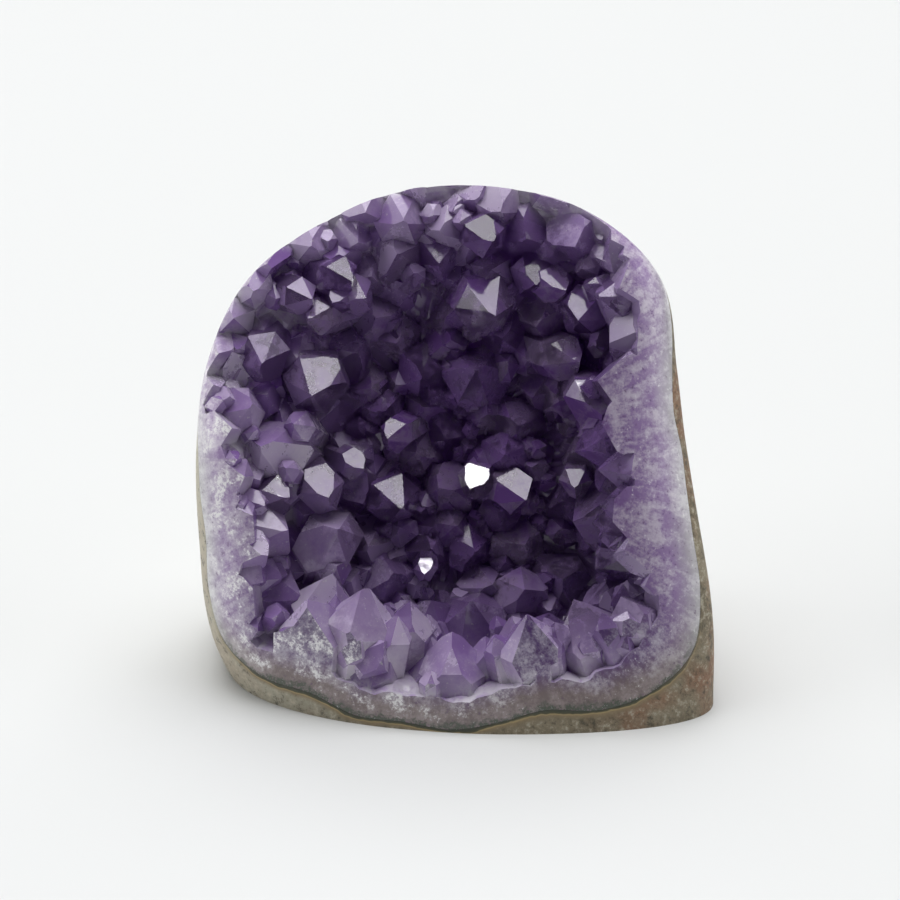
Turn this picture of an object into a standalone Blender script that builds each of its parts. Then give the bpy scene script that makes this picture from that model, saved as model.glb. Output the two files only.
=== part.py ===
"""An amethyst cluster: a slab of geode wall with a sawn foot and polished edges.

stone_matrix is the host rock: the slab's sides, its raw back and the foot it stands on.
amethyst_crust is the quartz that grew on the rock: a massive layer, and the points that stand in the
hollow and are cut off smooth where the edges were polished. Both are described in the frame of the
leaning front face: u runs to the right, v up the face and w out of it. Units are metres, +Z is up and
the face looks towards -Y.
"""

import collections
import itertools
import math
import random

import bmesh
import bpy
import numpy as np
from mathutils import Vector, noise

MM = 0.001
UP = Vector((0, 0, 1))

# The leaning face
FACE_LEAN = math.radians(24)
FACE_CENTRE = Vector((-0.6, -4.1, 46.4)) * MM
U_AXIS = Vector((1, 0, 0))
V_AXIS = Vector((0, math.sin(FACE_LEAN), math.cos(FACE_LEAN)))
W_AXIS = U_AXIS.cross(V_AXIS)

# Rings of values at equal angles, from +u round towards +v. Lengths are in millimetres
OUTLINE_RADIUS = (45.5, 46.4, 52.6, 53.4, 52.0, 51.5, 51.0, 51.8, 50.5,
                  49.6, 52.6, 60.9, 67.2, 77.3, 88.9, 89.1, 66.5, 51.4)
BELT_HEIGHT = (0, -1, -2, -3, -4, -4, -4, -3, -2, -1, -7, -16.5, -18.4, -19.2, -19.4, -16.4, -3.3, 2)
# The seam between quartz and rock on the ground front, with its waves along the foot
SEAM_RADIUS = (44.0, 43.0, 44.6, 48.2, 52.0, 54.0, 55.0, 56.0, 57.0, 57.0, 57.0, 57.0,
               57.0, 56.0, 55.0, 53.5, 51.5, 50.0, 48.6, 49.2, 50.6, 54.6, 57.9, 57.2,
               54.0, 54.1, 52.7, 53.3, 52.6, 52.6, 57.1, 59.9, 60.0, 54.8, 49.0, 45.6)
# How far behind the ground front the quartz wraps round the edge
WRAP_DEPTH = (0, 1, 3, 5, 6, 6, 6, 5, 3, 1, 0, 0, 0, 0, 0, 0, 0, 0)
# How steeply the bed rises to the seam: a higher power is a flatter floor and a steeper wall
BED_POWER = (6.0, 5.0, 3.4, 2.4, 2.0, 2.0, 2.0, 2.1, 2.3, 2.4, 2.8, 3.6, 4.6, 5.6, 6.0, 6.0, 6.0, 6.0)
# How thick the massive quartz is at the seam
MASSIVE_LAYER = (9, 8, 6.5, 5, 5, 5, 4.5, 4, 4, 4, 4.5, 4.5, 4.5, 4.5, 4.5, 5.5, 8, 9.5)
# How far the crystals reach off the bed, and how far they turn from its normal to face out of the hollow
REACH = (18, 16, 14, 12.5, 12, 12, 11, 10.5, 11, 11.5, 14, 18, 20, 19, 19, 19.5, 20, 19)
OUTWARD_TURN = (0.1, 0.15, 0.3, 0.4, 0.4, 0.4, 0.4, 0.4, 0.4,
                0.35, 0.25, 0.15, 0.05, 0.0, 0.0, 0.0, 0.0, 0.05)

# How near the seam the crystals grow: at the foot they stop short of the ground front
LAST_SHARE = (1, 1, 1, 1, 1, 1, 1, 1, 0.99, 0.98, 0.965, 0.955, 0.95, 0.95, 0.95, 0.955, 0.98, 1)

# The ground outer form
FRONT_RISE = 12 * MM
FRONT_POWER = 2.4
BACK_POWER = 3.4
BACK_PLANE_Y = 36 * MM
BACK_LUMP = 2.2 * MM
LUMP_SIZE = 19 * MM
SMALL_LUMP = 0.5
SMALL_LUMP_SIZE = LUMP_SIZE / 2.1
RAW_EDGE = 0.45
OUTER_SEGMENTS = 44
FRONT_RINGS = 7
BACK_RINGS = 9

# The bed of the crystals, and the massive quartz on it
BED_FLOOR = -22 * MM
BED_FLARE = 1.0
FLARED_SHARE = 1.7
MIDDLE_LAYER = 6 * MM
SEAM_GAP = 0.32 * MM
BED_SEGMENTS = 46
BED_RINGS = 7
CLEAR_OF_SLAB = 120 * MM

# The crystals: their points, and their width for the room that they take
RHOMB_TILT = math.radians(51.8)
MIDDLE_REACH = 14 * MM
REACH_SPREAD = (0.84, 1.1)
CRYSTAL_SPACING = 6.9 * MM
SPACING_SPREAD = (0.75, 1.25)
WIDTH_FOR_ROOM = (1.5, 1.85)
PLACED_ROOM = 0.74
CRYSTAL_DARTS = 5000
TOWARDS_EDGE = 0.42
CRYSTAL_SWAY = 0.14
CRYSTAL_ROOT = 4 * MM
PLACED_LENGTH = 24 * MM
TIP_TO_BRIGHT_FACE = 0.35
GROWTH_SEED = 7
# How far a prism face stands from the axis, and how far the larger and the smaller faces of the point are
# set back from the tip, all for a width of 1
PRISM_FACE = (0.43, 0.57)
LARGER_FACE = (-0.05, 0.06)
SMALLER_FACE = (0.0, 0.15)
FLAT_ANGLE = math.radians(0.3)

# Crystals that turn a bright face to the light: u, v and w of that face's middle and the crystal's width,
# in millimetres, how far its point leans towards +u, in degrees from straight down the face, and how far
# the bright face is turned towards +u, in degrees from the way that mirrors the sky to the view
LIT_CRYSTALS = (
    (-11.0, -8.7, -6, 9.5, 25, -3), (27.9, 10.0, 2, 11.0, 0, 0), (4.4, -5.4, -6, 7.0, -20, 0),
    (-26.3, 14.4, 0, 11.5, -10, 8), (-33.0, -7.7, 2, 7.5, 50, 6), (-25.0, -6.6, 0, 8.5, 20, -2),
    (-21.2, 34.2, 0, 8.0, 35, 6), (-18.1, 30.8, -1, 7.5, 45, -7), (-22.3, 29.6, 0, 6.0, -30, 9),
    (-28.5, 30.6, 1, 6.5, 40, 4), (-26.3, 26.5, 0, 6.0, -35, -5), (7.3, 28.8, -2, 11.0, 10, 7),
    (6.5, 42.0, 0, 8.0, 30, -8), (20.4, 32.9, -2, 7.0, 25, 5), (25.4, 27.9, -1, 9.0, -15, -8),
    (23.0, 18.8, -3, 8.0, 30, 9), (13.0, -7.1, -6, 8.5, 30, 6), (23.8, -5.8, -4, 6.0, 0, -7),
    (-11.3, 3.8, -6, 7.0, -25, -4), (-18.5, -2.3, -4, 5.5, 35, 7), (-5.2, -22.7, -4, 4.5, 0, 0),
    (-36.5, 18.5, 2, 9.0, 10, -9),
)
# Other large crystals: u, v and w of the point and the width, then how far it leans towards +u and +v
LARGE_CRYSTALS = (
    (-36.0, 1.0, 4, 12.5, -12, 8), (-8.0, -29.0, 1, 10.0, 8, 62), (-22.5, -15.0, 1, 12.5, 10, 20),
    (-16.5, -27.0, 5, 14.0, 22, 66), (0.6, -35.0, 4, 12.5, -2, 72), (-40.5, -10.0, 4, 9.5, 30, 20),
    (5.0, 15.5, -5, 12.5, 5, 10), (31.0, -39.0, 4, 12.0, -20, 66), (17.0, -38.0, 3, 11.0, 6, 70),
    (-44.0, 12.0, 4, 9.0, 40, 10),
)

Crystal = collections.namedtuple("Crystal", "tip axis facing across length")


def ring_value(values, angle):
    """A smooth closed curve through values that stand at equal angles."""
    count = len(values)
    place = angle / (2 * math.pi) * count
    start = math.floor(place)
    t = place - start
    before, a, b, after = (values[(start + k) % count] for k in (-1, 0, 1, 2))
    bend = 2 * before - 5 * a + 4 * b - after
    twist = -before + 3 * a - 3 * b + after
    return 0.5 * (2 * a + (b - before) * t + bend * t * t + twist * t ** 3)


def face_point(u, v, w):
    """The world place of a point in the frame of the leaning face."""
    return FACE_CENTRE + u * U_AXIS + v * V_AXIS + w * W_AXIS


def polar_point(angle, radius, w):
    return face_point(radius * math.cos(angle), radius * math.sin(angle), w)


def superellipse(share, power):
    """Height from 1 at the middle to 0 at the edge."""
    return max(0.0, 1 - share ** power) ** (1 / power)


def front_height(angle, share):
    """Height of the ground front: share is 0 at the face's middle and 1 at its belt."""
    belt = ring_value(BELT_HEIGHT, angle) * MM
    return belt + (FRONT_RISE - belt) * superellipse(share, FRONT_POWER)


def front_point(angle, share):
    return polar_point(angle, ring_value(OUTLINE_RADIUS, angle) * MM * share, front_height(angle, share))


def back_point(angle, share):
    """A point of the slab's back, which bulges from the belt to an upright plane and is raw and lumpy."""
    radius = ring_value(OUTLINE_RADIUS, angle) * MM * share
    belt = ring_value(BELT_HEIGHT, angle) * MM
    plane = (radius * math.sin(angle) * math.sin(FACE_LEAN) - BACK_PLANE_Y) / math.cos(FACE_LEAN)
    point = polar_point(angle, radius, belt + (plane - belt) * superellipse(share, BACK_POWER))
    raw = min(1.0, (1 - share) / RAW_EDGE)
    lump = noise.noise(point / LUMP_SIZE) + SMALL_LUMP * noise.noise(point / SMALL_LUMP_SIZE)
    return point + Vector((0, 1, 0)) * (BACK_LUMP * raw * lump)


def seam_height(angle):
    share = min(1.0, ring_value(SEAM_RADIUS, angle) / ring_value(OUTLINE_RADIUS, angle))
    return front_height(angle, share) - ring_value(WRAP_DEPTH, angle) * MM


def bed_point(angle, share, inset=0.0):
    """A point of the crystals' bed, inset towards the hollow: share is 0 at its middle and 1 at the seam."""
    seam = seam_height(angle)
    radius = ring_value(SEAM_RADIUS, angle) * MM
    if share <= 1:
        height = seam + (BED_FLOOR - seam) * (1 - share ** ring_value(BED_POWER, angle))
    else:
        height = seam + BED_FLARE * (share - 1) * radius
    return polar_point(angle, radius * share - inset * min(share, 1.0), height + inset)


def no_gap(angle, share):
    return 0.0


def seam_gap(angle, share):
    """How far the crust stays off the rock: the same all over."""
    return SEAM_GAP


def massive_layer(angle, share):
    """How thick the massive quartz is: thickest where the edge was ground through it."""
    at_seam = ring_value(MASSIVE_LAYER, angle) * MM
    return MIDDLE_LAYER + (at_seam - MIDDLE_LAYER) * min(share, 1.0) ** 2


def bed_normal(angle, share):
    """The way out of the bed at a point, towards the hollow."""
    step = 0.01
    along = bed_point(angle, share + step) - bed_point(angle, share - step)
    around = bed_point(angle + step, share) - bed_point(angle - step, share)
    return along.cross(around).normalized()


def ring_shell(rings, first_pole, last_pole):
    """A closed mesh of rings of points, with a pole at each end."""
    mesh = bmesh.new()
    rows = [[mesh.verts.new(point) for point in ring] for ring in rings]
    for lower, upper in itertools.pairwise(rows):
        for k in range(len(lower)):
            after = (k + 1) % len(lower)
            mesh.faces.new((lower[k], lower[after], upper[after], upper[k]))
    for row, pole, turn in ((rows[0], first_pole, -1), (rows[-1], last_pole, 1)):
        tip = mesh.verts.new(pole)
        for k in range(len(row)):
            mesh.faces.new((row[k], row[(k + 1) % len(row)], tip)[::turn])
    bmesh.ops.recalc_face_normals(mesh, faces=mesh.faces)
    return mesh


def meridians(count, shift):
    """Equal angles. Forms that cut each other have theirs shifted, so that no edges meet."""
    return [2 * math.pi * (k + shift) / count for k in range(count)]


def ring_share(k, count):
    """Where a form's ring stands: the rings crowd towards its edge, where it turns fastest."""
    return math.sin(math.pi / 2 * k / count)


def outer_form():
    """The slab as it was ground, before the foot is sawn and the hollow is taken out."""
    turns = meridians(OUTER_SEGMENTS, 0.0)
    rings = [[front_point(a, ring_share(k, FRONT_RINGS)) for a in turns] for k in range(1, FRONT_RINGS + 1)]
    for k in reversed(range(1, BACK_RINGS)):
        rings.append([back_point(a, ring_share(k, BACK_RINGS)) for a in turns])
    return ring_shell(rings, front_point(0, 0), back_point(0, 0))


def bed_form(inset, far_pole, shift):
    """The bed, flared past the slab's edge and closed by a far pole on the side that is wanted."""
    turns = meridians(BED_SEGMENTS, shift)
    shares = [ring_share(k, BED_RINGS) for k in range(1, BED_RINGS + 1)] + [FLARED_SHARE]
    rings = [[bed_point(a, share, inset(a, share)) for a in turns] for share in shares]
    return ring_shell(rings, bed_point(0, 0, inset(0, 0)), FACE_CENTRE + far_pole * W_AXIS)


def solid_between(normals, distances):
    """Corners and faces of the convex solid that lies behind all the given planes."""
    triples = np.array(list(itertools.combinations(range(len(normals)), 3)))
    sides, offsets = normals[triples], distances[triples]
    meet = np.abs(np.linalg.det(sides)) > 1e-6
    corners = np.linalg.solve(sides[meet], offsets[meet][..., None])[..., 0]
    inside = (corners @ normals.T <= distances + 1e-9).all(axis=1)
    corners = np.unique(np.round(corners[inside], 9), axis=0)
    faces = []
    for normal, distance in zip(normals, distances):
        on_face = np.flatnonzero(np.abs(corners @ normal - distance) < 1e-8)
        if len(on_face) < 3:
            continue
        spread = corners[on_face] - corners[on_face].mean(axis=0)
        across = spread[0] / np.linalg.norm(spread[0])
        around = np.arctan2(spread @ np.cross(normal, across), spread @ across)
        faces.append([int(k) for k in on_face[np.argsort(around)]])
    return corners, faces


def add_crystal(mesh, crystal, rng):
    """Adds one quartz crystal: a six-sided prism whose point has three larger faces and three smaller."""
    axis = crystal.axis.normalized()
    ahead = (crystal.facing - axis * crystal.facing.dot(axis)).normalized()
    aside = axis.cross(ahead)
    normals, distances = [-axis], [crystal.length]
    for k in range(6):
        turn = k * math.pi / 3
        outward = ahead * math.cos(turn) + aside * math.sin(turn)
        normals.append(outward)
        distances.append(crystal.across * rng.uniform(*PRISM_FACE))
        normals.append(axis * math.cos(RHOMB_TILT) + outward * math.sin(RHOMB_TILT))
        distances.append(crystal.across * rng.uniform(*(SMALLER_FACE if k % 2 else LARGER_FACE)))
    corners, faces = solid_between(np.array(normals), np.array(distances))
    verts = [mesh.verts.new(crystal.tip + Vector(corner)) for corner in corners]
    for face in faces:
        mesh.faces.new([verts[k] for k in face])


def lit_crystal(u, v, w, across, lean, turn):
    """The crystal whose bright face lies about halfway between the way out of the slab and straight up."""
    bright = ((W_AXIS + UP).normalized() + U_AXIS * math.tan(math.radians(turn))).normalized()
    down_face = (bright * bright.dot(V_AXIS) - V_AXIS).normalized()
    lean_way = down_face * math.cos(math.radians(lean)) + U_AXIS * math.sin(math.radians(lean))
    axis = bright * math.cos(RHOMB_TILT) + lean_way * math.sin(RHOMB_TILT)
    facing = (bright - axis * math.cos(RHOMB_TILT)) / math.sin(RHOMB_TILT)
    from_tip = facing * math.cos(RHOMB_TILT) - axis * math.sin(RHOMB_TILT)
    tip = face_point(u * MM, v * MM, w * MM) - from_tip * (TIP_TO_BRIGHT_FACE * across * MM)
    return Crystal(tip, axis, facing, across * MM, PLACED_LENGTH)


def large_crystal(u, v, w, across, lean_u, lean_v):
    """A crystal with its point at a given place."""
    axis = W_AXIS + U_AXIS * math.tan(math.radians(lean_u)) + V_AXIS * math.tan(math.radians(lean_v))
    return Crystal(face_point(u * MM, v * MM, w * MM), axis.normalized(), V_AXIS, across * MM, PLACED_LENGTH)


def sway(rng):
    """A random direction and size, the same all round."""
    return Vector((rng.gauss(0, 1), rng.gauss(0, 1), rng.gauss(0, 1)))


def grown_crystal(rng):
    """A crystal somewhere on the bed, and the room that it leaves round its point."""
    angle = rng.uniform(0, 2 * math.pi)
    share = max(0.02, rng.uniform(0.0, 1.0) ** TOWARDS_EDGE) * ring_value(LAST_SHARE, angle)
    turn = ring_value(OUTWARD_TURN, angle)
    axis = (bed_normal(angle, share) * (1 - turn) + W_AXIS * turn + sway(rng) * CRYSTAL_SWAY).normalized()
    edge_reach = ring_value(REACH, angle) * MM
    reach = (MIDDLE_REACH + (edge_reach - MIDDLE_REACH) * share ** 2) * rng.uniform(*REACH_SPREAD)
    room = CRYSTAL_SPACING * rng.uniform(*SPACING_SPREAD)
    tip = bed_point(angle, share) + axis * reach
    return Crystal(tip, axis, sway(rng), room * rng.uniform(*WIDTH_FOR_ROOM), reach + CRYSTAL_ROOT), room


def crystals(rng):
    """Every crystal: the placed ones, then others wherever no point crowds another."""
    found = [lit_crystal(*row) for row in LIT_CRYSTALS]
    found += [large_crystal(*row) for row in LARGE_CRYSTALS]
    rooms = [crystal.across * PLACED_ROOM for crystal in found]
    for _ in range(CRYSTAL_DARTS):
        crystal, room = grown_crystal(rng)
        if all((crystal.tip - other.tip).length > (room + taken) / 2 for other, taken in zip(found, rooms)):
            found.append(crystal)
            rooms.append(room)
    return found


def growth():
    """The massive quartz and every crystal that stands on it, still as separate overlapping shapes."""
    rng = random.Random(GROWTH_SEED)
    mesh = bed_form(massive_layer, -CLEAR_OF_SLAB, 0.23)
    for crystal in crystals(rng):
        add_crystal(mesh, crystal, rng)
    return mesh


def material(name, colour, roughness, transmission=0.0):
    made = bpy.data.materials.new(name)
    made.use_nodes = True
    shader = made.node_tree.nodes["Principled BSDF"]
    shader.inputs["Base Color"].default_value = (*colour, 1)
    shader.inputs["Roughness"].default_value = roughness
    shader.inputs["Metallic"].default_value = 0.0
    shader.inputs["Transmission Weight"].default_value = transmission
    made.diffuse_color = (*colour, 1)
    return made


def add_object(name, mesh, finish=None):
    bmesh.ops.triangulate(mesh, faces=mesh.faces)
    data = bpy.data.meshes.new(name)
    mesh.to_mesh(data)
    mesh.free()
    made = bpy.data.objects.new(name, data)
    bpy.context.scene.collection.objects.link(made)
    if finish:
        data.materials.append(finish)
    return made


def add_cutter(name, mesh):
    cutter = add_object(name, mesh)
    cutter.hide_render = True
    cutter.display_type = "WIRE"
    return cutter


def add_boolean(target, operation, cutter, crossing=False):
    """Crossing is for a cutter whose own shapes overlap each other."""
    step = target.modifiers.new(operation.title(), "BOOLEAN")
    step.operation = operation
    step.object = cutter
    step.solver = "EXACT"
    step.use_self = crossing


def keep_largest_shell(mesh):
    """Deletes the pockets that crystals seal off between them."""
    waiting = set(mesh.verts)
    shells = []
    while waiting:
        shell, border = set(), [waiting.pop()]
        while border:
            vert = border.pop()
            shell.add(vert)
            linked = {edge.other_vert(vert) for edge in vert.link_edges} & waiting
            waiting -= linked
            border.extend(linked)
        shells.append(shell)
    shells.sort(key=len)
    small = [vert for shell in shells[:-1] for vert in shell]
    bmesh.ops.delete(mesh, geom=small, context="VERTS")


def apply_booleans(target):
    """Makes the cuts final, and joins the triangles that they leave in each flat face."""
    evaluated = target.evaluated_get(bpy.context.evaluated_depsgraph_get())
    mesh = bmesh.new()
    mesh.from_mesh(evaluated.to_mesh())
    keep_largest_shell(mesh)
    bmesh.ops.dissolve_limit(mesh, angle_limit=FLAT_ANGLE, verts=mesh.verts, edges=mesh.edges)
    bmesh.ops.triangulate(mesh, faces=mesh.faces)
    target.modifiers.clear()
    mesh.to_mesh(target.data)
    mesh.free()


def below_ground():
    """Everything under the plane that the foot was sawn on."""
    mesh = bmesh.new()
    size = 2 * CLEAR_OF_SLAB
    bmesh.ops.create_cube(mesh, size=size)
    bmesh.ops.translate(mesh, vec=-UP * size / 2, verts=mesh.verts)
    return mesh


def main():
    for old in list(bpy.data.objects):
        bpy.data.objects.remove(old)
    stone_finish = material("host_rock", (0.20, 0.17, 0.13), 0.55)
    quartz_finish = material("amethyst", (0.12, 0.05, 0.24), 0.08, 0.6)

    stone = add_object("stone_matrix", outer_form(), stone_finish)
    add_boolean(stone, "DIFFERENCE", add_cutter("bed_cutter", bed_form(no_gap, CLEAR_OF_SLAB, 0.5)))
    add_boolean(stone, "DIFFERENCE", add_cutter("saw_cutter", below_ground()))

    crust = add_object("amethyst_crust", outer_form(), quartz_finish)
    add_boolean(crust, "INTERSECT", add_cutter("crust_mould", bed_form(seam_gap, CLEAR_OF_SLAB, 0.5)))
    add_boolean(crust, "INTERSECT", add_cutter("growth_form", growth()), crossing=True)
    for piece in (stone, crust):
        apply_booleans(piece)


main()
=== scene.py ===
"""The looks of an amethyst cluster: a slab of geode wall with a sawn foot and polished edges.

The crust of quartz and the host rock are made again here as fine meshes, from the same values as their
solids, with lesser crystals between the large ones. u runs to the right on the leaning front face, v up
it and w out of it. Units are metres.
"""

import collections
import itertools
import math
import random

import bmesh
import bpy
import numpy as np
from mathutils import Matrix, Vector, noise
from mathutils.bvhtree import BVHTree


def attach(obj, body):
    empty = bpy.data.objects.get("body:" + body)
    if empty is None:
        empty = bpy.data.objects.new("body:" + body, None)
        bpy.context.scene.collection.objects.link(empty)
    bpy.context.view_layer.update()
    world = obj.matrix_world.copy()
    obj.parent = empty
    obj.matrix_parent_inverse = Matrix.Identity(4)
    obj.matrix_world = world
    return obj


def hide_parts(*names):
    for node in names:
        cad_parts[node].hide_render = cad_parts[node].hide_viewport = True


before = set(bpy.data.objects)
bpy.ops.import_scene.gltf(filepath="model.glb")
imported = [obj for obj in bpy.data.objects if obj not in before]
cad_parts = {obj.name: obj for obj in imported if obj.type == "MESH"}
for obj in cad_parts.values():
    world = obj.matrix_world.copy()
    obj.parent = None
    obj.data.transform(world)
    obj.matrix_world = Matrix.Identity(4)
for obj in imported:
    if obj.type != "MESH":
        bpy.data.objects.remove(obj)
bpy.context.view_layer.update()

MM = 0.001
UP = Vector((0, 0, 1))

# The leaning face
FACE_LEAN = math.radians(24)
FACE_CENTRE = Vector((-0.6, -4.1, 46.4)) * MM
U_AXIS = Vector((1, 0, 0))
V_AXIS = Vector((0, math.sin(FACE_LEAN), math.cos(FACE_LEAN)))
W_AXIS = U_AXIS.cross(V_AXIS)

# Rings of values at equal angles, from +u round towards +v. Lengths are in millimetres
OUTLINE_RADIUS = (45.5, 46.4, 52.6, 53.4, 52.0, 51.5, 51.0, 51.8, 50.5,
                  49.6, 52.6, 60.9, 67.2, 77.3, 88.9, 89.1, 66.5, 51.4)
BELT_HEIGHT = (0, -1, -2, -3, -4, -4, -4, -3, -2, -1, -7, -16.5, -18.4, -19.2, -19.4, -16.4, -3.3, 2)
# The seam between quartz and rock on the ground front, with its waves along the foot
SEAM_RADIUS = (44.0, 43.0, 44.6, 48.2, 52.0, 54.0, 55.0, 56.0, 57.0, 57.0, 57.0, 57.0,
               57.0, 56.0, 55.0, 53.5, 51.5, 50.0, 48.6, 49.2, 50.6, 54.6, 57.9, 57.2,
               54.0, 54.1, 52.7, 53.3, 52.6, 52.6, 57.1, 59.9, 60.0, 54.8, 49.0, 45.6)
# How far behind the ground front the quartz wraps round the edge
WRAP_DEPTH = (0, 1, 3, 5, 6, 6, 6, 5, 3, 1, 0, 0, 0, 0, 0, 0, 0, 0)
# How steeply the bed rises to the seam: a higher power is a flatter floor and a steeper wall
BED_POWER = (6.0, 5.0, 3.4, 2.4, 2.0, 2.0, 2.0, 2.1, 2.3, 2.4, 2.8, 3.6, 4.6, 5.6, 6.0, 6.0, 6.0, 6.0)
# How thick the massive quartz is at the seam
MASSIVE_LAYER = (9, 8, 6.5, 5, 5, 5, 4.5, 4, 4, 4, 4.5, 4.5, 4.5, 4.5, 4.5, 5.5, 8, 9.5)
# How far the crystals reach off the bed, and how far they turn from its normal to face out of the hollow
REACH = (18, 16, 14, 12.5, 12, 12, 11, 10.5, 11, 11.5, 14, 18, 20, 19, 19, 19.5, 20, 19)
OUTWARD_TURN = (0.1, 0.15, 0.3, 0.4, 0.4, 0.4, 0.4, 0.4, 0.4,
                0.35, 0.25, 0.15, 0.05, 0.0, 0.0, 0.0, 0.0, 0.05)

# How near the seam the crystals grow: at the foot they stop short of the ground front
LAST_SHARE = (1, 1, 1, 1, 1, 1, 1, 1, 0.99, 0.98, 0.965, 0.955, 0.95, 0.95, 0.95, 0.955, 0.98, 1)

# The ground outer form
FRONT_RISE = 12 * MM
FRONT_POWER = 2.4
BACK_POWER = 3.4
BACK_PLANE_Y = 36 * MM
BACK_LUMP = 2.2 * MM
LUMP_SIZE = 19 * MM
SMALL_LUMP = 0.5
SMALL_LUMP_SIZE = LUMP_SIZE / 2.1
RAW_EDGE = 0.45
# Chips and grains of the raw back that the solids leave out, and how far it is set in for them
CHIP = 0.16
CHIP_SIZE = 3.2 * MM
GRAIN = 0.07
GRAIN_SIZE = 1.4 * MM
LUMPS_SET_IN = 0.45 * MM
OUTER_SEGMENTS = 180
FRONT_RINGS = 26
BACK_RINGS = 40
# The fine form is a little smaller than the solids', to stay inside their box
FINE_SCALE = 0.993

# The bed of the crystals, and the massive quartz on it
BED_FLOOR = -22 * MM
BED_FLARE = 1.0
FLARED_SHARE = 1.7
MIDDLE_LAYER = 6 * MM
SEAM_GAP = 0.05 * MM
BED_SEGMENTS = 200
BED_RINGS = 30
FLARE_RINGS = 6
CLEAR_OF_SLAB = 120 * MM
# How far a form's meridians are turned, in shares of their step
BED_SHIFT = 0.5
GROWN_SHIFT = 0.23

# The crystals: their points, and their width for the room that they take
RHOMB_TILT = math.radians(51.8)
MIDDLE_REACH = 14 * MM
REACH_SPREAD = (0.84, 1.1)
CRYSTAL_SPACING = 6.9 * MM
SPACING_SPREAD = (0.75, 1.25)
WIDTH_FOR_ROOM = (1.5, 1.85)
PLACED_ROOM = 0.74
CRYSTAL_DARTS = 5000
TOWARDS_EDGE = 0.42
NEAREST_MIDDLE = 0.02
CRYSTAL_SWAY = 0.14
CRYSTAL_ROOT = 4 * MM
PLACED_LENGTH = 24 * MM
TIP_TO_BRIGHT_FACE = 0.35
GROWTH_SEED = 7
# How far a prism face stands from the axis, and how far the larger and the smaller faces of the point are
# set back from the tip, all for a width of 1
PRISM_FACE = (0.43, 0.57)
LARGER_FACE = (-0.05, 0.06)
SMALLER_FACE = (0.0, 0.15)
# Three planes meet in a point if their normals span more than this, and how exact that point is, in metres
LEAST_SPAN = 1e-6
CORNER_DECIMALS = 9
INSIDE_BY = 1e-9
ON_FACE_BY = 1e-8

# Crystals that turn a bright face to the light: u, v and w of that face's middle and the crystal's width,
# in millimetres, how far its point leans towards +u, in degrees from straight down the face, and how far
# the bright face is turned towards +u, in degrees from the way that mirrors the sky to the view
LIT_CRYSTALS = (
    (-11.0, -8.7, -6, 9.5, 25, -3), (27.9, 10.0, 2, 11.0, 0, 0), (4.4, -5.4, -6, 7.0, -20, 0),
    (-26.3, 14.4, 0, 11.5, -10, 8), (-33.0, -7.7, 2, 7.5, 50, 6), (-25.0, -6.6, 0, 8.5, 20, -2),
    (-21.2, 34.2, 0, 8.0, 35, 6), (-18.1, 30.8, -1, 7.5, 45, -7), (-22.3, 29.6, 0, 6.0, -30, 9),
    (-28.5, 30.6, 1, 6.5, 40, 4), (-26.3, 26.5, 0, 6.0, -35, -5), (7.3, 28.8, -2, 11.0, 10, 7),
    (6.5, 42.0, 0, 8.0, 30, -8), (20.4, 32.9, -2, 7.0, 25, 5), (25.4, 27.9, -1, 9.0, -15, -8),
    (23.0, 18.8, -3, 8.0, 30, 9), (13.0, -7.1, -6, 8.5, 30, 6), (23.8, -5.8, -4, 6.0, 0, -7),
    (-11.3, 3.8, -6, 7.0, -25, -4), (-18.5, -2.3, -4, 5.5, 35, 7), (-5.2, -22.7, -4, 4.5, 0, 0),
    (-36.5, 18.5, 2, 9.0, 10, -9),
)
# Other large crystals: u, v and w of the point and the width, then how far it leans towards +u and +v
LARGE_CRYSTALS = (
    (-36.0, 1.0, 4, 12.5, -12, 8), (-8.0, -29.0, 1, 10.0, 8, 62), (-22.5, -15.0, 1, 12.5, 10, 20),
    (-16.5, -27.0, 5, 14.0, 22, 66), (0.6, -35.0, 4, 12.5, -2, 72), (-40.5, -10.0, 4, 9.5, 30, 20),
    (5.0, 15.5, -5, 12.5, 5, 10), (31.0, -39.0, 4, 12.0, -20, 66), (17.0, -38.0, 3, 11.0, 6, 70),
    (-44.0, 12.0, 4, 9.0, 40, 10),
)

# Lesser crystals beside the large ones, and small ones in the gaps that are left: all stay below the top,
# where they would stand out of the solids' box
LESSER_SEED = 11
MOST_BESIDE = 4
LESSER_WIDTH = (0.3, 0.6)
LESSER_OFF = (0.36, 0.6)
LESSER_DROP = (0.1, 0.45)
SMALL_SPACING = 3.4 * MM
SMALL_REACH = 0.86
SMALL_DARTS = 5000
LESSER_TOP = 88 * MM
# Lumps of grains on the massive quartz: how high they are, and how many come round and along the bed
GRAINS_STAND_OUT = 1.1 * MM
GRAINS_ROUND = 19.0
GRAINS_ALONG = 30.0

# The fine meshes
LONGEST_EDGE = 6 * MM
SPLIT_ROUNDS = 4
SMOOTH_ANGLE = math.radians(25)
# Values that are kept for the materials, in millimetres: the size of the rim's streaks, and how far below a
# tip the massive quartz counts as
STREAK_WIDTH = 3.6
STREAK_LENGTH = 11.0
BELOW_ANY_TIP = 12.0
# Which form a face came from: the crystals' faces count up from MOST_FACES
FROM_OUTER, FROM_BED, FROM_SAW, FROM_MASSIVE = -1, -2, -3, 0
MOST_FACES = 16

# Noise patterns: scale, detail, roughness and distortion
CLOUDS = (190, 5, 0.72, 0.0)
GRIT = (1000, 3, 0.8, 0.0)
STREAKS = (1.6, 2, 0.65, 0.5)
FACE_WAVES = (170, 3, 0.55, 0.0)
ROCK_PATCHES = (70, 5, 0.65, 0.0)
ROCK_GRAINS = (620, 5, 0.75, 0.0)
ROCK_RELIEF = (340, 4, 0.7, 0.0)
RUST_PATCHES = (48, 4, 0.6, 0.0)
LINING_WAVES = (150, 3, 0.55, 0.0)

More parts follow.
